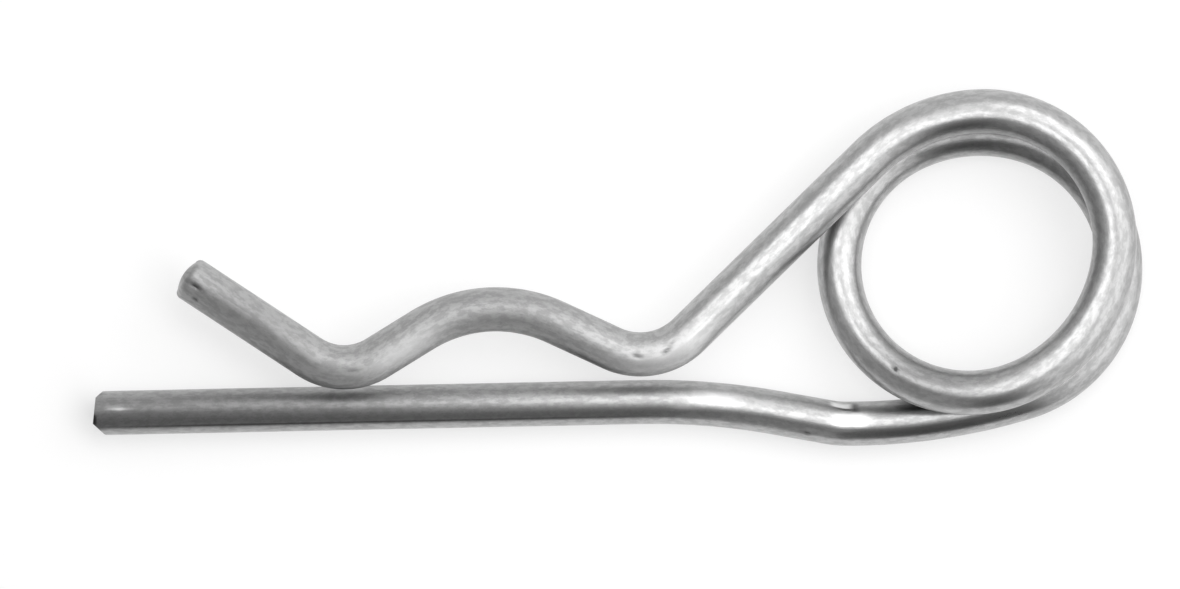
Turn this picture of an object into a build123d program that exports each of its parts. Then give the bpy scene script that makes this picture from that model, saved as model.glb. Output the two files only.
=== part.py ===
from build123d import *
from math import asin, atan, cos, degrees, radians, sin
import os

# Hitch R clip pin: one length of round spring wire, bent cold and zinc plated.
# Lengths are in millimetres and angles in degrees.
#
# The clip lies flat, as it comes to rest.  The origin is the middle of the coil's lower
# turn, on the surface that the clip lies on; +X points from the leg tips to the coil,
# +Y from the straight leg to the bent leg, and +Z up.
#
# The wire's axis is followed from the tip of the straight leg to the tip of the bent leg,
# the way a bending machine feeds it: straight runs, turns of the bending plane about the
# wire, and bends of one radius, each tangent to its neighbours.  Seen from above, a bend
# to the left is positive.

# Wire
wire_diameter = 4.0

# Straight leg, with a coned tip that finds the cross hole of a shaft
leg_length = 49.4
leg_chamfer = 1.0

# Dip, which brings the leg down to the outside of the coil
dip_angle = 11.3
dip_radius = 61.9
dip_run = 4.9
heel_angle = 9.7
heel_radius = 8.5
lead_angle = 17.3
lead_radius = 54.5

# Coil: a lower turn flat on the surface, a half turn that climbs, and an upper turn.
# The climbing half has the coil's radius.  The other bends are eased open from it by so
# many wire diameters, which lets the arm leave beside the climbing half.
coil_radius = 11.7
lower_turn_easing = 0.1
lower_turn_angle = 147.5
lower_ease_easing = 0.575
upper_ease_easing = 0.6
upper_ease_angle = 56.8
arm_bend_easing = 0.8
turn_gap = 0.25

# Bent leg: an arm from the coil, then valley, shaft bow, crest and flared tip.  The climb
# starts so many degrees before the wire heads back along the arm, so that the arm leaves
# beside the climbing half and not over it.
arm_angle = 43.2
climb_lead = 19.2
valley_angle = 69.2
valley_radius = 6.2
bow_rise_run = 5.5
bow_angle = 56.5
bow_radius = 12.7
bow_fall_run = 4.7
crest_angle = 65.1
crest_radius = 5.7
tip_length = 13.5
tip_edge_radius = 0.4

# The crest reaches over the straight leg by an overlap, seen from above, and its axis lies
# a drop lower than the upper turn's
crest_overlap = 0.3
crest_drop = 1.0

# Sizes that follow from those
wire_radius = wire_diameter / 2
turn_pitch = wire_diameter + turn_gap
lead_heading = lead_angle + heel_angle - dip_angle
climb_heading = 180 + arm_angle - climb_lead
lower_ease_angle = climb_heading - lead_heading - lower_turn_angle
upper_turn_angle = 360 - climb_heading - upper_ease_angle
climb_tilt = degrees(asin(turn_pitch / (2 * coil_radius)))
lower_turn_radius = coil_radius + lower_turn_easing * wire_diameter
lower_ease_radius = coil_radius + lower_ease_easing * wire_diameter
upper_ease_radius = coil_radius + upper_ease_easing * wire_diameter
arm_bend_radius = coil_radius + arm_bend_easing * wire_diameter
crest_offset = wire_diameter - crest_overlap


class WireAxis:
    """The wire's axis, grown from a start point and heading along +X."""

    def __init__(self, start):
        self.point = Vector(start)
        self.heading = Vector(1, 0, 0)
        self.normal = Vector(0, 0, 1)
        self.stretches = []

    def run(self, length):
        """Go straight on by a length."""
        end = self.point + self.heading * length
        self.stretches.append((self.point, end, None))
        self.point = end

    def roll(self, angle):
        """Turn the bending plane about the wire."""
        self.normal = self.normal.rotate(Axis((0, 0, 0), self.heading), angle)

    def bend(self, radius, angle):
        """Bend the wire by an angle and return the middle of the bend."""
        turn = Axis((0, 0, 0), self.normal)
        inward = self.heading.rotate(turn, 90 if angle > 0 else -90)
        centre = self.point + inward * radius
        end = centre - (inward * radius).rotate(turn, angle)
        self.stretches.append((self.point, end, self.heading))
        self.point = end
        self.heading = self.heading.rotate(turn, angle)
        return centre


def follow_leg_and_coil(start):
    """Return the axis up to the top of the upper turn, and the middle of the lower turn."""
    wire = WireAxis(start)
    wire.run(leg_length)
    wire.bend(dip_radius, -dip_angle)
    wire.run(dip_run)
    wire.bend(heel_radius, heel_angle)
    wire.bend(lead_radius, lead_angle)
    lower_middle = wire.bend(lower_turn_radius, lower_turn_angle)
    wire.bend(lower_ease_radius, lower_ease_angle)
    wire.roll(climb_tilt)
    wire.bend(coil_radius, 180)
    wire.roll(climb_tilt)
    wire.bend(upper_ease_radius, upper_ease_angle)
    wire.bend(coil_radius, upper_turn_angle)
    return wire, lower_middle


def follow_bent_leg(wire, leg_tilt, arm_length):
    """Add the bent leg to an axis at the coil's top, and return how low it reaches in Y."""
    wire.roll(-leg_tilt)
    wire.bend(arm_bend_radius, arm_angle)
    wire.run(arm_length)
    valley_middle = wire.bend(valley_radius, -valley_angle)
    wire.run(bow_rise_run)
    wire.bend(bow_radius, bow_angle)
    wire.run(bow_fall_run)
    crest_middle = wire.bend(crest_radius, -crest_angle)
    wire.run(tip_length)
    foreshortening = cos(radians(leg_tilt))
    valley_y = valley_middle.Y - valley_radius * foreshortening
    crest_y = crest_middle.Y - crest_radius * foreshortening
    return min(valley_y, crest_y)


# The leg tip stands where it brings the middle of the lower turn to the origin.
_, lower_middle = follow_leg_and_coil((0, 0, wire_radius))
leg_tip = Vector(-lower_middle.X, -lower_middle.Y, wire_radius)

# The bent leg slopes down from the top of the coil, to the height of its crest.
wire, _ = follow_leg_and_coil(leg_tip)
crest_y = leg_tip.Y + crest_offset
leg_tilt = degrees(atan(crest_drop / (wire.point.Y - crest_y)))

# The arm is as long as it takes the bent leg's lowest bend, the crest, to reach over the
# straight leg: its length is what an arm of no length falls short by, along its slope.
shortfall = follow_bent_leg(wire, leg_tilt, 0) - crest_y
arm_length = shortfall / (sin(radians(arm_angle)) * cos(radians(leg_tilt)))

wire, _ = follow_leg_and_coil(leg_tip)
follow_bent_leg(wire, leg_tilt, arm_length)

with BuildPart() as r_clip:
    with BuildLine() as axis:
        for start, end, heading in wire.stretches:
            if heading is None:
                Line(start, end)
            else:
                TangentArc(start, end, tangent=heading)
    with BuildSketch(Plane(origin=leg_tip, z_dir=(1, 0, 0))):
        Circle(wire_radius)
    sweep(path=axis.wire())
    wire_ends = r_clip.faces().filter_by(GeomType.PLANE).sort_by(Axis.X)
    chamfer(wire_ends[0].edges(), leg_chamfer)
    fillet(wire_ends[-1].edges(), tip_edge_radius)

os.makedirs("parts", exist_ok=True)
r_clip.part.label = "r_clip"
export_step(r_clip.part, "parts/r_clip.step")
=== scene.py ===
"""Looks of a hitch R clip pin: one length of drawn spring wire, bent cold and zinc plated.

Lengths are in metres, angles in degrees and colours in sRGB.  The frame is the CAD
model's: the clip lies flat on the floor, its origin is the middle of the coil's lower
turn, +X points from the leg tips to the coil and +Y from the straight leg to the bent one.
"""
import logging
import math
from dataclasses import dataclass
from enum import Enum

import bmesh
import bpy
from mathutils import Matrix, Vector, noise


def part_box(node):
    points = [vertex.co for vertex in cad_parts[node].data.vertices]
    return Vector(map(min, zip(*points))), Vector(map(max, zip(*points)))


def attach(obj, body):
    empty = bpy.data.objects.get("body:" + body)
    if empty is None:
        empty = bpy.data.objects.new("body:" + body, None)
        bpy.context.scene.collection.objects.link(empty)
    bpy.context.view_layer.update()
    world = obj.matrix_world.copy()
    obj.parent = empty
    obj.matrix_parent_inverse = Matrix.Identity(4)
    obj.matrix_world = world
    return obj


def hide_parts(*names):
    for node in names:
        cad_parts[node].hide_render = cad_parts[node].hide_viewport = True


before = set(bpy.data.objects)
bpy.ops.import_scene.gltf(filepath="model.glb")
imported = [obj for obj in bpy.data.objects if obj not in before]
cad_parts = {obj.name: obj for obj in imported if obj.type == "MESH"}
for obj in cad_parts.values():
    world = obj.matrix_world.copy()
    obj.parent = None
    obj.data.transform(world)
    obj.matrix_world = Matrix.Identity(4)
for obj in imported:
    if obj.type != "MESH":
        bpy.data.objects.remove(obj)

LOG = logging.getLogger("r_clip")
NODE = "r_clip"
BODY = "root"
MM = 0.001


# ---------------------------------------------------------------- colours and nodes

def linear(code: str) -> tuple[float, float, float, float]:
    """Turn an sRGB hex colour into linear RGBA.

    Args:
        code: The colour as "#rrggbb".

    Returns:
        The linear red, green and blue, and an alpha of 1.
    """
    parts = [int(code[i : i + 2], 16) / 255 for i in (1, 3, 5)]
    red, green, blue = (c / 12.92 if c <= 0.04045 else ((c + 0.055) / 1.055) ** 2.4 for c in parts)
    return red, green, blue, 1.0


def add_node(
    tree: bpy.types.NodeTree, kind: str, inputs: dict | None = None, **settings: object
) -> bpy.types.Node:
    """Add a shader node.

    Args:
        tree: The node tree that gets the node.
        kind: The node's type, such as "ShaderNodeMath".
        inputs: What goes into its sockets, by name or number: a value, or another node's
            output socket, which is linked.
        **settings: The node's own properties, such as operation="ADD".

    Returns:
        The new node.
    """
    node = tree.nodes.new(kind)
    for name, value in settings.items():
        setattr(node, name, value)
    for key, value in (inputs or {}).items():
        if isinstance(value, bpy.types.NodeSocket):
            tree.links.new(value, node.inputs[key])
        else:
            node.inputs[key].default_value = value
    return node


# ------------------------------------------------------------------------ finishes

@dataclass(frozen=True)
class ZincPlatedSpringWire:
    """Bright zinc electroplated on drawn spring steel: a soft grey metal sheen.

    Drawing leaves fine lines along the wire, which the thin plate follows.  The plate is
    clouded in blotches that are longer along the wire than across it.
    """

    bright: str = "#b7b7b7"
    clouded: str = "#a4a4a4"
    # The dark colour paints stains and also painted shade; the light colour paints bare metal and
    # also painted highlights.
    stain_and_shade: str = "#1c1c1c"
    bare_and_highlight: str = "#f5f5f5"
    smooth_roughness: float = 0.27
    scuffed_roughness: float = 0.52
    clouding_roughness: float = 0.04
    blotch_width: float = 0.42 * MM
    blotch_stretch: float = 2.2
    blotch_detail: float = 3.0
    grain_width: float = 0.13 * MM
    grain_stretch: float = 1.8
    grain_detail: float = 2.0
    # Real draw lines are a few hundredths of a millimetre apart: these are drawn coarser,
    # so that they show.
    draw_line_width: float = 0.16 * MM
    draw_line_stretch: float = 40.0
    draw_line_detail: float = 2.0
    draw_line_depth: float = 0.004 * MM
    noise_roughness: float = 0.55
    stain_and_shade_strength: float = 0.9
    # A noise is read within its spread either side of 0.5.  The blotches make the whole of
    # the clouding, which the grain and the draw lines shift by their shares.
    blotch_spread: float = 0.14
    grain_spread: float = 0.2
    grain_share: float = 0.3
    draw_line_spread: float = 0.15
    draw_line_share: float = 0.1

    def pattern(
        self, tree: bpy.types.NodeTree, width: float, stretch: float, detail: float
    ) -> bpy.types.NodeSocket:
        """Add a noise that lies along the wire, `width` across and `stretch` times as long.

        Args:
            tree: The material's node tree.
            width: The size of a feature across the wire.
            stretch: How many times longer it is along the wire.
            detail: How many finer octaves it has.

        Returns:
            The noise's output socket, about 0.5 on average.
        """
        place = add_node(tree, "ShaderNodeAttribute", attribute_name="unbent")
        across = 1 / width
        scale = add_node(
            tree,
            "ShaderNodeVectorMath",
            {0: place.outputs["Vector"], 1: (across / stretch, across, across)},
            operation="MULTIPLY",
        )
        cloud = add_node(
            tree,
            "ShaderNodeTexNoise",
            {
                "Vector": scale.outputs[0],
                "Scale": 1.0,
                "Detail": detail,
                "Roughness": self.noise_roughness,
            },
        )
        return cloud.outputs["Fac"]

    def about_zero(
        self, tree: bpy.types.NodeTree, cloud: bpy.types.NodeSocket, spread: float, share: float
    ) -> bpy.types.NodeSocket:
        """Add a map from a noise to a small amount either side of nothing.

        Args:
            tree: The material's node tree.
            cloud: The noise.
            spread: How far either side of 0.5 it is read.
            share: The most that it adds or takes away.

        Returns:
            The amount's output socket.
        """
        limits = {
            "Value": cloud,
            "From Min": 0.5 - spread,
            "From Max": 0.5 + spread,
            "To Min": -share,
            "To Max": share,
        }
        return add_node(tree, "ShaderNodeMapRange", limits).outputs[0]

    def build(self) -> bpy.types.Material:
        """Make the material.

        Returns:
            The material.
        """
        material = bpy.data.materials.new("zinc_plated_spring_wire")
        material.use_nodes = True
        tree = material.node_tree
        shader = tree.nodes["Principled BSDF"]
        shader.inputs["Metallic"].default_value = 1.0

        blotches = self.pattern(
            tree, self.blotch_width, self.blotch_stretch, self.blotch_detail
        )
        grain = self.pattern(tree, self.grain_width, self.grain_stretch, self.grain_detail)
        lines = self.pattern(
            tree, self.draw_line_width, self.draw_line_stretch, self.draw_line_detail
        )
        tint = add_node(tree, "ShaderNodeAttribute", attribute_name="tint").outputs["Fac"]

        grained = self.about_zero(tree, grain, self.grain_spread, self.grain_share)
        lined = self.about_zero(tree, lines, self.draw_line_spread, self.draw_line_share)
        texture = add_node(tree, "ShaderNodeMath", {0: grained, 1: lined}, operation="ADD")
        cloud = add_node(
            tree,
            "ShaderNodeMapRange",
            {
                "Value": blotches,
                "From Min": 0.5 - self.blotch_spread,
                "From Max": 0.5 + self.blotch_spread,
            },
            interpolation_type="SMOOTHSTEP",
        )
        clouding = add_node(
            tree,
            "ShaderNodeMath",
            {0: cloud.outputs[0], 1: texture.outputs[0]},
            operation="ADD",
            use_clamp=True,
        )
        plate = add_node(
            tree,
            "ShaderNodeMix",
            {0: clouding.outputs[0], 6: linear(self.bright), 7: linear(self.clouded)},
            data_type="RGBA",
        )
        # The tint attribute darkens the plate for stains and painted shade, and lightens it for bare
        # metal and painted highlights.
        stain_and_shade_share = add_node(
            tree,
            "ShaderNodeMapRange",
            {"Value": tint, "From Max": -1.0, "To Max": self.stain_and_shade_strength},
        )
        bare_and_highlight_share = add_node(tree, "ShaderNodeMapRange", {"Value": tint})
        stained_and_shaded = add_node(
            tree,
            "ShaderNodeMix",
            {0: stain_and_shade_share.outputs[0], 6: plate.outputs[2], 7: linear(self.stain_and_shade)},
            data_type="RGBA",
        )
        bared_and_highlighted = add_node(
            tree,
            "ShaderNodeMix",
            {0: bare_and_highlight_share.outputs[0], 6: stained_and_shaded.outputs[2], 7: linear(self.bare_and_highlight)},
            data_type="RGBA",
        )
        tree.links.new(bared_and_highlighted.outputs[2], shader.inputs["Base Color"])

        scuff = add_node(tree, "ShaderNodeAttribute", attribute_name="scuff").outputs["Fac"]
        worn = add_node(
            tree,
            "ShaderNodeMapRange",
            {"Value": scuff, "To Min": self.smooth_roughness, "To Max": self.scuffed_roughness},
        )
        roughness = add_node(
            tree,
            "ShaderNodeMath",
            {0: clouding.outputs[0], 1: self.clouding_roughness, 2: worn.outputs[0]},
            operation="MULTIPLY_ADD",
        )
        tree.links.new(roughness.outputs[0], shader.inputs["Roughness"])

        relief = add_node(
            tree,
            "ShaderNodeBump",
            {"Height": lines, "Strength": 1.0, "Distance": self.draw_line_depth},
        )
        tree.links.new(relief.outputs[0], shader.inputs["Normal"])
        return material


@dataclass(frozen=True)
class PaleFloor:
    """Matt white paper, which reads as white and keeps the clip's shadow."""

    paper: str = "#fafafa"
    roughness: float = 0.9
    whitening: float = 0.6

    def build(self) -> bpy.types.Material:
        """Make the material.

        Returns:
            The material.
        """
        material = bpy.data.materials.new("white_paper")
        material.use_nodes = True
        tree = material.node_tree
        shader = tree.nodes["Principled BSDF"]
        shader.inputs["Base Color"].default_value = linear(self.paper)
        shader.inputs["Roughness"].default_value = self.roughness
        rays = add_node(tree, "ShaderNodeLightPath").outputs
        seen = add_node(
            tree,
            "ShaderNodeMath",
            {0: rays["Is Camera Ray"], 1: rays["Is Glossy Ray"]},
            operation="MAXIMUM",
        )
        shown = add_node(
            tree,
            "ShaderNodeMath",
            {0: seen.outputs[0], 1: rays["Is Transmission Ray"]},
            operation="MAXIMUM",
        )
        share = add_node(
            tree, "ShaderNodeMath", {0: shown.outputs[0], 1: self.whitening}, operation="MULTIPLY"
        )
        white = add_node(tree, "ShaderNodeEmission", {"Color": (1, 1, 1, 1), "Strength": 1.0})
        mix = add_node(
            tree,
            "ShaderNodeMixShader",
            {0: share.outputs[0], 1: shader.outputs[0], 2: white.outputs[0]},
        )
        tree.links.new(mix.outputs[0], tree.nodes["Material Output"].inputs["Surface"])
        return material


# ------------------------------------------------------------------- bending the wire

class Stroke(Enum):
    """What the bending machine does with the wire."""

    RUN = "feed the wire straight on"
    BEND = "bend the wire about the bending plane's normal"
    ROLL = "turn the bending plane about the wire"


@dataclass(frozen=True)
class Step:
    """One line of the bend table.

    A run has a length, a bend has a radius and an angle, and a roll has an angle.  Seen
    from above, a bend to the left is positive.
    """

    stroke: Stroke
    angle: float = 0.0
    radius: float = 0.0
    length: float = 0.0

    @property
    def fed(self) -> float:
        """Tell how much wire the step takes.

        Returns:
            The length of wire, which is nothing for a roll.
        """
        if self.stroke is Stroke.BEND:
            return self.radius * math.radians(abs(self.angle))
        return self.length


def run(length: float) -> Step:
    """Return a straight run."""
    return Step(Stroke.RUN, length=length)


def bend(radius: float, angle: float) -> Step:
    """Return a bend."""
    return Step(Stroke.BEND, angle=angle, radius=radius)


def roll(angle: float) -> Step:
    """Return a turn of the bending plane."""
    return Step(Stroke.ROLL, angle=angle)


@dataclass
class Section:
    """One ring of the wire's surface, square to the wire."""

    fed: float
    middle: Vector
    left: Vector
    up: Vector
    verts: list[bmesh.types.BMVert]


class BendingMachine:
    """Grows the wire's surface ring by ring, as the machine feeds and bends the wire."""

    def __init__(self, radius: float, around: int, spacing: float) -> None:
        """Open an empty mesh.

        Args:
            radius: The wire's radius.
            around: How many vertices a ring has.
            spacing: The most that two rings may lie apart.
        """
        self.mesh = bmesh.new()
        self.unbent = self.mesh.verts.layers.float_vector.new("unbent")
        self.tint = self.mesh.verts.layers.float.new("tint")
        self.scuff = self.mesh.verts.layers.float.new("scuff")
        self.radius = radius
        self.around = around
        self.spacing = spacing
        self.point = Vector((0, 0, radius))
        self.heading = Vector((1, 0, 0))
        self.normal = Vector((0, 0, 1))
        self.fed = 0.0
        self.sections: list[Section] = []
        self.ring: list[bmesh.types.BMEdge] = []

    def start(self, spare: float) -> None:
        """Make the first ring, square to the wire's heading.

        Args:
            spare: How much wire stands before the start, to be cut off later.
        """
        self.point.x = -spare
        self.fed = -spare
        square = Matrix.Translation(self.point) @ Matrix.Rotation(math.radians(90), 4, "Y")
        made = bmesh.ops.create_circle(
            self.mesh, cap_ends=False, segments=self.around, radius=self.radius, matrix=square
        )
        for vert in made["verts"]:
            vert[self.unbent] = (0.0, vert.co.y - self.point.y, vert.co.z - self.point.z)
        self.ring = list({edge for vert in made["verts"] for edge in vert.link_edges})
        self.note(made["verts"])
        self.advance(spare)

    def note(self, verts: list[bmesh.types.BMVert]) -> None:
        """Give a new ring its place along the unbent wire, and remember it.

        Args:
            verts: The ring's vertices.
        """
        for vert in verts:
            vert[self.unbent].x = self.fed
        left = self.normal.cross(self.heading)
        self.sections.append(
            Section(self.fed, self.point.copy(), left, self.normal.copy(), list(verts))
        )

    def extrude(self) -> list[bmesh.types.BMVert]:
        """Extrude the last ring in place.

        Returns:
            The new ring's vertices.
        """
        made = bmesh.ops.extrude_edge_only(self.mesh, edges=self.ring)["geom"]
        self.ring = [item for item in made if isinstance(item, bmesh.types.BMEdge)]
        return [item for item in made if isinstance(item, bmesh.types.BMVert)]

    def work(self, step: Step) -> Vector:
        """Do one step of the bend table.

        Args:
            step: The step.

        Returns:
            The middle of the bend, or the wire's end after a run or a roll.
        """
        if step.stroke is Stroke.ROLL:
            self.normal.rotate(Matrix.Rotation(math.radians(step.angle), 3, self.heading))
            return self.point.copy()
        count = math.ceil(step.fed / self.spacing)
        if step.stroke is Stroke.RUN:
            for _ in range(count):
                self.advance(step.length / count)
            return self.point.copy()
        side = 1 if step.angle > 0 else -1
        middle = self.point + self.normal.cross(self.heading) * step.radius * side
        turn = Matrix.Rotation(math.radians(step.angle) / count, 3, self.normal)
        for _ in range(count):
            verts = self.extrude()
            bmesh.ops.rotate(self.mesh, cent=middle, matrix=turn, verts=verts)
            self.point = middle + turn @ (self.point - middle)
            self.heading.rotate(turn)
            self.fed += step.fed / count
            self.note(verts)
        return middle

    def advance(self, length: float) -> list[bmesh.types.BMVert]:
        """Feed the wire straight on by one ring.

        Args:
            length: How far the new ring lies from the last one.

        Returns:
            The new ring's vertices.
        """
        verts = self.extrude()
        bmesh.ops.translate(self.mesh, vec=self.heading * length, verts=verts)
        self.point = self.point + self.heading * length
        self.fed += length
        self.note(verts)
        return verts


# ------------------------------------------------------- the clip's stretches of wire

@dataclass
class StraightLeg:
    """The leg that goes through the shaft's cross hole, and its dip towards the coil."""

    length: float = 49.4 * MM
    dip_angle: float = 11.3
    dip_radius: float = 61.9 * MM
    dip_run: float = 4.9 * MM
    heel_angle: float = 9.7
    heel_radius: float = 8.5 * MM
    lead_angle: float = 17.3
    lead_radius: float = 54.5 * MM

    @property
    def heading(self) -> float:
        """The wire's heading where the coil begins."""
        return self.lead_angle + self.heel_angle - self.dip_angle

    def steps(self) -> list[Step]:
        """List this stretch's lines of the bend table.

        Returns:
            The steps, in the order of bending.
        """
        return [
            run(self.length),
            bend(self.dip_radius, -self.dip_angle),
            run(self.dip_run),
            bend(self.heel_radius, self.heel_angle),
            bend(self.lead_radius, self.lead_angle),
        ]


@dataclass
class Coil:
    """A lower turn flat on the floor, a half turn that climbs, and an upper turn."""

    radius: float = 11.7 * MM
    lower_turn_radius: float = 12.1 * MM
    lower_turn_angle: float = 147.5
    lower_ease_radius: float = 14.0 * MM
    upper_ease_radius: float = 14.1 * MM
    upper_ease_angle: float = 56.8
    climb_heading: float = 204.0
    turn_pitch: float = 4.25 * MM

    def lower_turn(self) -> Step:
        """Return the flat turn, whose middle is the origin."""
        return bend(self.lower_turn_radius, self.lower_turn_angle)

    def steps(self, heading: float) -> list[Step]:
        """List the lines of the bend table after the flat turn.

        Args:
            heading: The wire's heading where the flat turn begins.

        Returns:
            The steps, in the order of bending.
        """
        tilt = math.degrees(math.asin(self.turn_pitch / (2 * self.radius)))
        ease_angle = self.climb_heading - heading - self.lower_turn_angle
        return [
            bend(self.lower_ease_radius, ease_angle),
            roll(tilt),
            bend(self.radius, 180),
            roll(tilt),
            bend(self.upper_ease_radius, self.upper_ease_angle),
            bend(self.radius, 360 - self.climb_heading - self.upper_ease_angle),
        ]


@dataclass
class BentLeg:
    """The arm from the coil, the valley, the shaft bow, the crest and the flared tip.

    The slope and the arm's length follow from the clip's other sizes, so they have to be
    worked out again when those change.
    """

    slope: float = 2.628
    arm_bend_radius: float = 14.9 * MM
    arm_angle: float = 43.2
    arm_length: float = 22.617 * MM
    valley_angle: float = 69.2
    valley_radius: float = 6.2 * MM
    bow_rise_run: float = 5.5 * MM
    bow_angle: float = 56.5
    bow_radius: float = 12.7 * MM
    bow_fall_run: float = 4.7 * MM
    crest_angle: float = 65.1
    crest_radius: float = 5.7 * MM
    tip_length: float = 13.5 * MM

    def steps(self, tip_rounding: float) -> list[Step]:
        """List this stretch's lines of the bend table.

        Args:
            tip_rounding: How much of the tip's end the rounding takes.

        Returns:
            The steps, in the order of bending.
        """
        return [
            roll(-self.slope),
            bend(self.arm_bend_radius, self.arm_angle),
            run(self.arm_length),
            bend(self.valley_radius, -self.valley_angle),
            run(self.bow_rise_run),
            bend(self.bow_radius, self.bow_angle),
            run(self.bow_fall_run),
            bend(self.crest_radius, -self.crest_angle),
            run(self.tip_length - tip_rounding),
        ]


# How many times its longer side a mark reaches, and how steeply its sides fall
MARK_REACH = 3
SOFT_FALL = 2
CRISP_FALL = 6


@dataclass(frozen=True)
class Mark:
    """A nick, dent, spot of dirt, bright scratch, painted shade or painted highlight on the wire's
    surface.

    It lies `along` the wire from the straight leg's tip, at an `angle` from the top to the
    left of the wire's heading.  Its length is along the wire unless it is turned by
    `skew`.  A tint of -1 is fully darkened, for dirt and for painted shade, and one of 1 is
    fully lightened, for worn-through plate and for painted highlights.  A scuff roughens
    the surface.  A crisp mark has a flat floor and steep sides.
    """

    along: float
    angle: float
    length: float
    width: float
    depth: float = 0.0
    tint: float = 0.0
    skew: float = 0.0
    crisp: bool = False
    scuff: float = 0.0

    @property
    def reach(self) -> float:
        """How far from its middle the mark can still be told."""
        return MARK_REACH * max(self.length, self.width)

    def share(self, lengthwise: float, crosswise: float) -> float:
        """Tell how strong the mark is at a place.

        Args:
            lengthwise: How far the place is from the mark's middle, along the mark.
            crosswise: How far it is across the mark.

        Returns:
            From 0, outside the mark, to 1, at its middle.
        """
        power = CRISP_FALL if self.crisp else SOFT_FALL
        fall = abs(lengthwise / self.length) ** power + abs(crosswise / self.width) ** power
        return math.exp(-fall)


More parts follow.
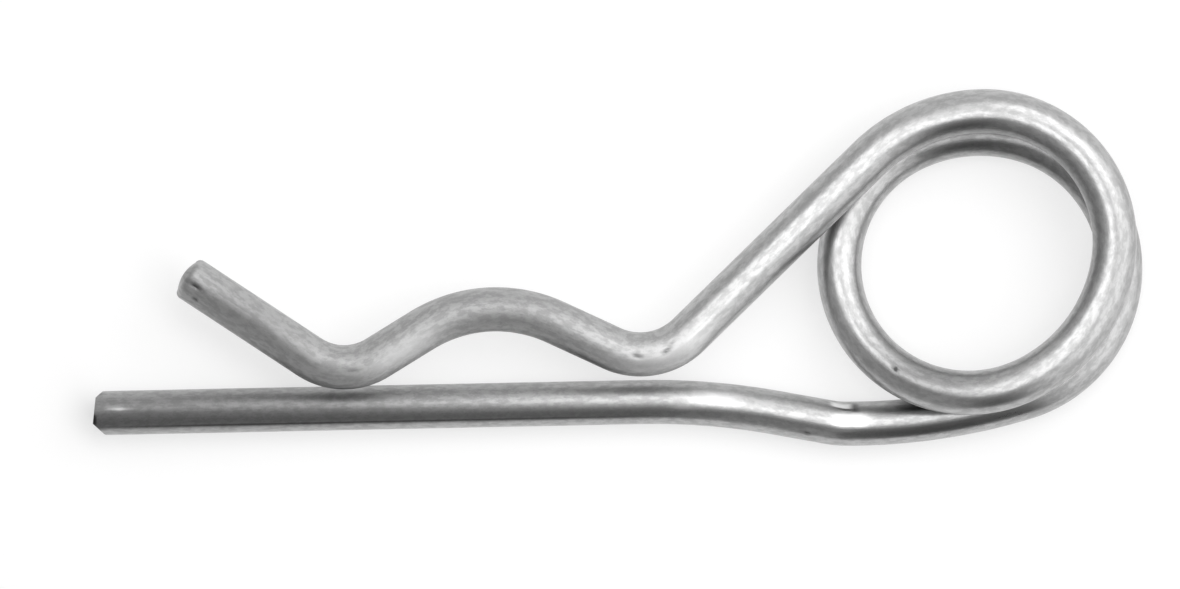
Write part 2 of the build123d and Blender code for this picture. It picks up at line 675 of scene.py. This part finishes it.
@dataclass
class SpringWireClip:
    """The whole clip: one length of wire with its two cut ends and its marks."""

    wire_radius: float = 2.0 * MM
    around: int = 72
    spacing: float = 0.28 * MM
    # The straight leg ends in a face askew, with both of its side edges knocked off.
    tip_spare: float = 0.3 * MM
    tip_reach: float = 2.0 * MM
    cut_tolerance: float = 1e-4 * MM
    tip_edge: float = 0.05 * MM
    tip_stain: float = -0.6
    tip_face_lean: float = 7.0
    tip_face_tilt: float = 2.0
    tip_outer_edge: float = 0.87 * MM
    tip_outer_slant: float = 45.0
    tip_inner_edge: float = 1.38 * MM
    tip_inner_slant: float = 42.0
    # The bent leg ends square, with a rounded rim and a slight dome.
    end_rounding: float = 0.55 * MM
    end_dome: float = 0.34 * MM
    rounding_rings: int = 6
    dome_rings: int = 5
    # A sharper turn between two faces than this shows as an edge.
    crisp_angle: float = 28.0
    # The wire is slightly out of round.
    unevenness: float = 0.02 * MM
    unevenness_middle: float = 0.6
    unevenness_swing: float = 0.4
    unevenness_width: float = 2.2 * MM
    unevenness_length: float = 9.0 * MM
    # Places along the wire from the straight leg's tip
    coil_starts: float = 84.0 * MM
    valley_starts: float = 229.0 * MM
    scuff_blend: float = 4.0 * MM
    coil_scuff: float = 0.2

    def build(self) -> bpy.types.Object:
        """Bend, mark and finish the clip.

        Returns:
            The clip, as one piece.
        """
        leg = StraightLeg()
        coil = Coil()
        bent_leg = BentLeg()
        machine = BendingMachine(self.wire_radius, self.around, self.spacing)
        machine.start(self.tip_spare)
        for step in leg.steps():
            machine.work(step)
        origin = machine.work(coil.lower_turn())
        for step in coil.steps(leg.heading) + bent_leg.steps(self.end_rounding + self.end_dome):
            machine.work(step)
        self.roughen(machine)
        self.scuff(machine)
        for mark in self.marks():
            self.press(machine, mark)
        self.shear_straight_tip(machine)
        self.round_bent_tip(machine)
        bmesh.ops.translate(
            machine.mesh, vec=Vector((-origin.x, -origin.y, 0)), verts=machine.mesh.verts
        )
        return self.finish_mesh(machine.mesh)

    def marks(self) -> list[Mark]:
        """List the clip's nicks, flats, spots of dirt, scratches and dull places, and its painted
        shade and painted highlights.

        Returns:
            The marks, which are pressed in this order.
        """
        return [
            # Two nicks and a trail in the valley
            Mark(235.5 * MM, 1, 0.42 * MM, 0.16 * MM, 0.10 * MM, -0.9, skew=-8),
            Mark(232.9 * MM, 3, 0.42 * MM, 0.15 * MM, 0.10 * MM, -0.9, skew=20),
            Mark(232.3 * MM, -5, 0.55 * MM, 0.10 * MM, 0.04 * MM, -0.5, skew=35),
            # Nick and spot near the bent leg's tip
            Mark(279.0 * MM, 7, 0.55 * MM, 0.16 * MM, 0.12 * MM, -0.8),
            Mark(278.4 * MM, 38, 0.24 * MM, 0.20 * MM, 0.06 * MM, -0.9),
            # Specks on the coil and on the dip
            Mark(150.3 * MM, -3, 0.26 * MM, 0.22 * MM, 0.06 * MM, -0.9),
            Mark(64.7 * MM, -40, 0.34 * MM, 0.16 * MM, 0.05 * MM, -0.8),
            # Smudge on the crest
            Mark(263.0 * MM, 8, 0.7 * MM, 0.2 * MM, 0.02 * MM, -0.35),
            # Flat pressed into the heel with a painted highlight on it, a painted shadow along its
            # lower edge and painted shade at its pressed-in end
            Mark(67.4 * MM, 58, 1.0 * MM, 0.4 * MM, 0.12 * MM, 1.0, skew=-8, crisp=True),
            Mark(67.7 * MM, 42, 1.1 * MM, 0.1 * MM, 0.0, -1.2, skew=-8),
            Mark(68.85 * MM, 50, 0.25 * MM, 0.5 * MM, 0.06 * MM, -0.6, crisp=True),
            # Painted highlights on the heel and on the dip, over slight pressed flats
            Mark(68.4 * MM, 10, 1.7 * MM, 0.62 * MM, 0.02 * MM, 0.75, crisp=True),
            Mark(67.9 * MM, -19, 1.3 * MM, 0.13 * MM, 0.0, 0.5),
            Mark(56.2 * MM, 18, 2.4 * MM, 0.85 * MM, 0.02 * MM, 0.7),
            Mark(53.2 * MM, -14, 1.3 * MM, 0.22 * MM, 0.0, 0.5),
            # Painted shade in the corner under the crossing, and painted contact shadow where crest
            # and straight leg meet
            Mark(79.5 * MM, 62, 7.0 * MM, 1.35 * MM, 0.0, -1.15, crisp=True),
            Mark(263.8 * MM, 84, 2.4 * MM, 0.5 * MM, 0.0, -0.9),
            Mark(23.8 * MM, 84, 2.4 * MM, 0.4 * MM, 0.0, -0.9),
            # Painted shade on the straight leg, which is also dulled there, past the heel, on the
            # coil and on the bent leg
            Mark(8.0 * MM, 4, 42 * MM, 2.0 * MM, 0.0, -0.64, scuff=0.5),
            Mark(78.0 * MM, -5, 7 * MM, 0.8 * MM, 0.0, -0.3),
            Mark(117.5 * MM, 10, 8 * MM, 1.3 * MM, 0.0, -0.6),
            Mark(127.0 * MM, 6, 5 * MM, 0.8 * MM, 0.0, -0.4),
            Mark(153.0 * MM, 6, 7 * MM, 1.2 * MM, 0.0, -0.55),
            Mark(247.0 * MM, -12, 8 * MM, 1.2 * MM, 0.0, -0.32),
            Mark(273.0 * MM, -10, 10 * MM, 1.1 * MM, 0.0, -0.55),
            # Dull flank of the straight leg, lightened with a little painted light, and a painted
            # dark reflection line over a faint groove on its other side
            Mark(34.0 * MM, 42, 26 * MM, 1.1 * MM, 0.0, 0.12, scuff=0.8),
            Mark(26.0 * MM, -39, 25 * MM, 0.11 * MM, 0.01 * MM, -0.55, crisp=True),
            # Painted highlights on the sides of the valley and of the bow's fall
            Mark(232.5 * MM, 28, 4.5 * MM, 1.3 * MM, 0.0, 0.5),
            Mark(258.5 * MM, 26, 4.5 * MM, 1.2 * MM, 0.0, 0.5),
            # Painted shade in bands on the coil's inner side, past the valley and on the crest
            Mark(188.0 * MM, 56, 15 * MM, 1.0 * MM, 0.0, -0.55),
            Mark(111.0 * MM, 50, 8 * MM, 0.9 * MM, 0.0, -0.45),
            Mark(239.0 * MM, 60, 4.5 * MM, 0.55 * MM, 0.0, -0.7),
            Mark(265.0 * MM, 56, 5 * MM, 0.6 * MM, 0.0, -0.6),
            # Painted shade on the rim of the straight leg's end face
            Mark(0.1 * MM, -18, 0.2 * MM, 0.5 * MM, 0.0, -1.1, crisp=True),
            # Notch in the knocked-off edge of the straight leg's tip
            Mark(0.75 * MM, 72, 0.25 * MM, 0.7 * MM, 0.1 * MM, -0.4),
            # Bright scratch near the straight leg's tip
            Mark(2.6 * MM, 11, 0.9 * MM, 0.10 * MM, 0.03 * MM, 0.9),
        ]

    def press(self, machine: BendingMachine, mark: Mark) -> None:
        """Press a mark into the wire and tint it.

        Args:
            machine: The machine that holds the wire.
            mark: The mark.
        """
        turn = math.radians(mark.skew)
        reach = mark.reach
        for section in machine.sections:
            along = section.fed - mark.along
            if abs(along) > reach:
                continue
            for vert in section.verts:
                spoke = vert.co - section.middle
                angle = math.atan2(spoke.dot(section.left), spoke.dot(section.up))
                across = (angle - math.radians(mark.angle)) * self.wire_radius
                if abs(across) > reach:
                    continue
                lengthwise = along * math.cos(turn) + across * math.sin(turn)
                crosswise = across * math.cos(turn) - along * math.sin(turn)
                share = mark.share(lengthwise, crosswise)
                vert.co -= spoke.normalized() * mark.depth * share
                vert[machine.tint] += mark.tint * share
                vert[machine.scuff] += mark.scuff * share

    def roughen(self, machine: BendingMachine) -> None:
        """Take the wire slightly out of round, always inwards.

        Args:
            machine: The machine that holds the wire.
        """
        scale = Vector(
            (1 / self.unevenness_length, 1 / self.unevenness_width, 1 / self.unevenness_width)
        )
        for section in machine.sections:
            for vert in section.verts:
                place = vert[machine.unbent] * scale
                share = self.unevenness_middle + self.unevenness_swing * noise.noise(place)
                inwards = (section.middle - vert.co).normalized()
                vert.co += inwards * self.unevenness * share

    def scuff(self, machine: BendingMachine) -> None:
        """Dull the plate a little from the coil on, and more from the valley on.

        Args:
            machine: The machine that holds the wire.
        """
        for section in machine.sections:
            coil = min(max((section.fed - self.coil_starts) / self.scuff_blend, 0), 1)
            bends = min(max((section.fed - self.valley_starts) / self.scuff_blend, 0), 1)
            for vert in section.verts:
                vert[machine.scuff] = self.coil_scuff * coil + (1 - self.coil_scuff) * bends

    def shear_straight_tip(self, machine: BendingMachine) -> None:
        """Cut the straight leg's end askew, and cut off its two side edges.

        Args:
            machine: The machine that holds the wire.
        """
        lean = math.radians(self.tip_face_lean)
        tilt = math.radians(self.tip_face_tilt)
        outer = math.radians(self.tip_outer_slant)
        inner = math.radians(self.tip_inner_slant)
        overhang = self.wire_radius * math.tan(tilt)
        corner = Vector((overhang, -self.tip_outer_edge, self.wire_radius))
        across = self.tip_outer_edge + self.tip_inner_edge
        far_corner = corner + Vector((across * math.tan(lean), across, 0))
        face = self.cut(machine, corner, Vector((-1, math.tan(lean), math.tan(tilt))))
        bmesh.ops.inset_region(machine.mesh, faces=face, thickness=self.tip_edge)
        for vert in face[0].verts:
            vert[machine.tint] = self.tip_stain
        self.cut(machine, corner, Vector((-math.sin(outer), -math.cos(outer), 0)))
        self.cut(machine, far_corner, Vector((-math.sin(inner), math.cos(inner), 0)))

    def cut(
        self, machine: BendingMachine, place: Vector, outwards: Vector
    ) -> list[bmesh.types.BMFace]:
        """Cut the straight leg's tip along a plane and close the cut.

        Args:
            machine: The machine that holds the wire.
            place: A point of the plane.
            outwards: The plane's normal, towards what falls off.

        Returns:
            The faces that close the cut.
        """
        near = {vert for vert in machine.mesh.verts if vert.co.x < self.tip_reach}
        faces = {face for vert in near for face in vert.link_faces}
        edges = {edge for face in faces for edge in face.edges}
        verts = {vert for face in faces for vert in face.verts}
        made = bmesh.ops.bisect_plane(
            machine.mesh,
            geom=[*verts, *edges, *faces],
            dist=self.cut_tolerance,
            plane_co=place,
            plane_no=outwards,
            clear_outer=True,
        )
        rim = [item for item in made["geom_cut"] if isinstance(item, bmesh.types.BMEdge)]
        return bmesh.ops.contextual_create(machine.mesh, geom=rim)["faces"]

    def round_bent_tip(self, machine: BendingMachine) -> None:
        """Round the bent leg's end over and close it with a slight dome.

        Args:
            machine: The machine that holds the wire.
        """
        quarter = self.rounding_rings
        shrunk = self.wire_radius
        for number in range(1, quarter + 1):
            turned = math.radians(90) * number / quarter
            before = math.radians(90) * (number - 1) / quarter
            verts = machine.advance(self.end_rounding * (math.sin(turned) - math.sin(before)))
            target = self.wire_radius - self.end_rounding * (1 - math.cos(turned))
            self.shrink(machine, verts, target / shrunk)
            shrunk = target
        rings = self.dome_rings
        for number in range(1, rings):
            target = (self.wire_radius - self.end_rounding) * (1 - number / rings)
            rise = self.end_dome * (2 * (rings - number) + 1) / rings**2
            verts = machine.advance(rise)
            self.shrink(machine, verts, target / shrunk)
            shrunk = target
        bmesh.ops.contextual_create(machine.mesh, geom=machine.ring)

    def shrink(
        self, machine: BendingMachine, verts: list[bmesh.types.BMVert], share: float
    ) -> None:
        """Scale the machine's last ring about its middle."""
        about = Matrix.Translation(-machine.point)
        bmesh.ops.scale(machine.mesh, vec=Vector((share,) * 3), space=about, verts=verts)

    def finish_mesh(self, mesh: bmesh.types.BMesh) -> bpy.types.Object:
        """Turn the mesh's faces outwards, keep its cut edges crisp, and make it an object.

        Args:
            mesh: The closed mesh, which is freed.

        Returns:
            The object, riding on its body and dressed in its finish.
        """
        bmesh.ops.recalc_face_normals(mesh, faces=mesh.faces)
        for face in mesh.faces:
            face.smooth = True
        crisp = math.radians(self.crisp_angle)
        for edge in mesh.edges:
            edge.smooth = edge.calc_face_angle(0.0) < crisp
        data = bpy.data.meshes.new("r_clip_wire")
        mesh.to_mesh(data)
        mesh.free()
        wire = bpy.data.objects.new("r_clip_wire", data)
        bpy.context.scene.collection.objects.link(wire)
        data.materials.append(ZincPlatedSpringWire().build())
        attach(wire, BODY)
        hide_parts(NODE)
        return wire


# ------------------------------------------------------------------------ the studio

@dataclass(frozen=True)
class SoftBox:
    """A rectangular soft light that shines down."""

    name: str
    place: tuple[float, float, float]
    width: float
    depth: float
    watts: float
    turn: float = 0.0

    def build(self) -> None:
        """Hang the light in the scene, unseen by the camera."""
        data = bpy.data.lights.new(self.name, "AREA")
        data.shape = "RECTANGLE"
        data.size = self.width
        data.size_y = self.depth
        data.energy = self.watts
        lamp = bpy.data.objects.new(self.name, data)
        lamp.location = self.place
        lamp.rotation_euler = (0, 0, math.radians(self.turn))
        lamp.visible_camera = False
        bpy.context.scene.collection.objects.link(lamp)


@dataclass(frozen=True)
class Patch:
    """A soft round patch of the room's light.

    Its azimuth is from +X towards +Y.  It is full out to `inner` degrees from its middle,
    and gone at `outer`.
    """

    azimuth: float
    elevation: float
    inner: float
    outer: float
    level: float


@dataclass(frozen=True)
class Doorway:
    """A tall dark opening in the wall.

    Each pair of values says where it is full and where there is none of it left.  The
    sides are in degrees from the upright plane through its middle.  `ahead` is the cosine
    of the angle from its azimuth, which keeps it from opening behind as well, and `top`
    is the sine of the elevation.
    """

    azimuth: float = 281.0
    full_side: float = 10.0
    none_side: float = 16.0
    none_ahead: float = 0.15
    full_ahead: float = 0.4
    none_top: float = 0.97
    full_top: float = 0.82
    level: float = 0.0


@dataclass
class Studio:
    """A pale floor, soft light from above and the right, and a camera that looks down."""

    camera_height: float = 1.0
    framed_width: float = 106.07 * MM
    aim_from_middle: tuple[float, float] = (-2.37 * MM, -1.80 * MM)
    roll: float = -1.18
    aim_height: float = 4.0 * MM
    floor_size: float = 8.0
    near_wall_level: float = 0.45
    far_wall: Patch = Patch(azimuth=40, elevation=20, inner=30, outer=150, level=0.95)
    window: Patch = Patch(azimuth=355, elevation=42, inner=15, outer=62, level=1.75)
    overhead: Patch = Patch(azimuth=200, elevation=80, inner=8, outer=36, level=0.22)
    opening: Doorway = Doorway()
    over_arm: SoftBox = SoftBox(
        "soft_box_over_arm", (-0.0263, 0.0132, 0.11), width=0.135, depth=0.048, watts=0.053, turn=-47
    )
    behind_coil: SoftBox = SoftBox(
        "soft_box_behind_coil", (0.055, 0.075, 0.11), width=0.10, depth=0.10, watts=0.047
    )

    def build(self) -> None:
        """Set up the floor, the lights, the camera and the colour handling."""
        self.lay_floor()
        self.light_room()
        self.set_camera()
        bpy.context.scene.view_settings.view_transform = "Standard"

    def lay_floor(self) -> None:
        """Lay the pale floor that the clip rests on."""
        mesh = bmesh.new()
        bmesh.ops.create_grid(mesh, x_segments=1, y_segments=1, size=self.floor_size / 2)
        data = bpy.data.meshes.new("floor")
        mesh.to_mesh(data)
        mesh.free()
        data.materials.append(PaleFloor().build())
        floor = bpy.data.objects.new("floor", data)
        bpy.context.scene.collection.objects.link(floor)

    def light_room(self) -> None:
        """Hang the soft boxes, and light the room in patches, dark on the straight leg's side."""
        self.over_arm.build()
        self.behind_coil.build()
        world = bpy.data.worlds.new("studio")
        world.use_nodes = True
        bpy.context.scene.world = world
        tree = world.node_tree
        level = self.near_wall_level
        for patch in (self.far_wall, self.window, self.overhead):
            level = self.blend(tree, self.patch_strength(tree, patch), level, patch.level)
        level = self.blend(tree, self.doorway_strength(tree), level, self.opening.level)
        tree.links.new(level, tree.nodes["Background"].inputs["Strength"])
        tree.nodes["Background"].inputs["Color"].default_value = (1, 1, 1, 1)

    def doorway_strength(self, tree: bpy.types.NodeTree) -> bpy.types.NodeSocket:
        """Add the dark opening.

        Args:
            tree: The world's node tree.

        Returns:
            The output socket of its strength, from 0 to 1.
        """
        opening = self.opening
        azimuth = math.radians(opening.azimuth)
        none_side = math.sin(math.radians(opening.none_side))
        full_side = math.sin(math.radians(opening.full_side))
        direction = add_node(tree, "ShaderNodeTexCoord").outputs["Generated"]
        ahead = (math.cos(azimuth), math.sin(azimuth), 0)
        beside = (-math.sin(azimuth), math.cos(azimuth), 0)
        limits = [
            (ahead, opening.none_ahead, opening.full_ahead, False),
            (beside, none_side, full_side, True),
            ((0, 0, 1), opening.none_top, opening.full_top, False),
        ]
        strength = 1.0
        for axis, none, full, either_way in limits:
            reach = add_node(
                tree, "ShaderNodeVectorMath", {0: direction, 1: axis}, operation="DOT_PRODUCT"
            ).outputs["Value"]
            if either_way:
                reach = add_node(tree, "ShaderNodeMath", {0: reach}, operation="ABSOLUTE").outputs[0]
            share = add_node(
                tree,
                "ShaderNodeMapRange",
                {"Value": reach, "From Min": none, "From Max": full},
                interpolation_type="SMOOTHSTEP",
            ).outputs[0]
            strength = add_node(
                tree, "ShaderNodeMath", {0: share, 1: strength}, operation="MULTIPLY"
            ).outputs[0]
        return strength

    def patch_strength(self, tree: bpy.types.NodeTree, patch: Patch) -> bpy.types.NodeSocket:
        """Add a patch of the room.

        Args:
            tree: The world's node tree.
            patch: The patch.

        Returns:
            The output socket of its strength, from 0 to 1.
        """
        flat = math.cos(math.radians(patch.elevation))
        middle = (
            flat * math.cos(math.radians(patch.azimuth)),
            flat * math.sin(math.radians(patch.azimuth)),
            math.sin(math.radians(patch.elevation)),
        )
        direction = add_node(tree, "ShaderNodeTexCoord").outputs["Generated"]
        toward = add_node(
            tree, "ShaderNodeVectorMath", {0: direction, 1: middle}, operation="DOT_PRODUCT"
        )
        share = add_node(
            tree,
            "ShaderNodeMapRange",
            {
                "Value": toward.outputs["Value"],
                "From Min": math.cos(math.radians(patch.outer)),
                "From Max": math.cos(math.radians(patch.inner)),
            },
            interpolation_type="SMOOTHSTEP",
        )
        return share.outputs[0]

    def blend(
        self,
        tree: bpy.types.NodeTree,
        share: bpy.types.NodeSocket,
        low: bpy.types.NodeSocket | float,
        high: float,
    ) -> bpy.types.NodeSocket:
        """Add a mix of two light levels and return its socket."""
        return add_node(tree, "ShaderNodeMix", {0: share, 2: low, 3: high}).outputs[0]

    def set_camera(self) -> None:
        """Look straight down with a long lens, as a product is laid out for a catalogue."""
        low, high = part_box(NODE)
        middle = (low + high) / 2
        data = bpy.data.cameras.new("camera")
        distance = self.camera_height - self.aim_height
        data.lens = data.sensor_width * distance / self.framed_width
        camera = bpy.data.objects.new("camera", data)
        camera.location = (
            middle.x + self.aim_from_middle[0],
            middle.y + self.aim_from_middle[1],
            self.camera_height,
        )
        camera.rotation_euler = (0, 0, math.radians(self.roll))
        bpy.context.scene.collection.objects.link(camera)
        bpy.context.scene.camera = camera


def main() -> None:
    """Build the clip and its studio."""
    logging.basicConfig(level=logging.INFO, format="%(name)s: %(message)s")
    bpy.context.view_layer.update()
    wire = SpringWireClip().build()
    LOG.info("%s: %d faces", wire.name, len(wire.data.polygons))
    Studio().build()
    LOG.info("studio built")


if __name__ == "__main__":
    main()
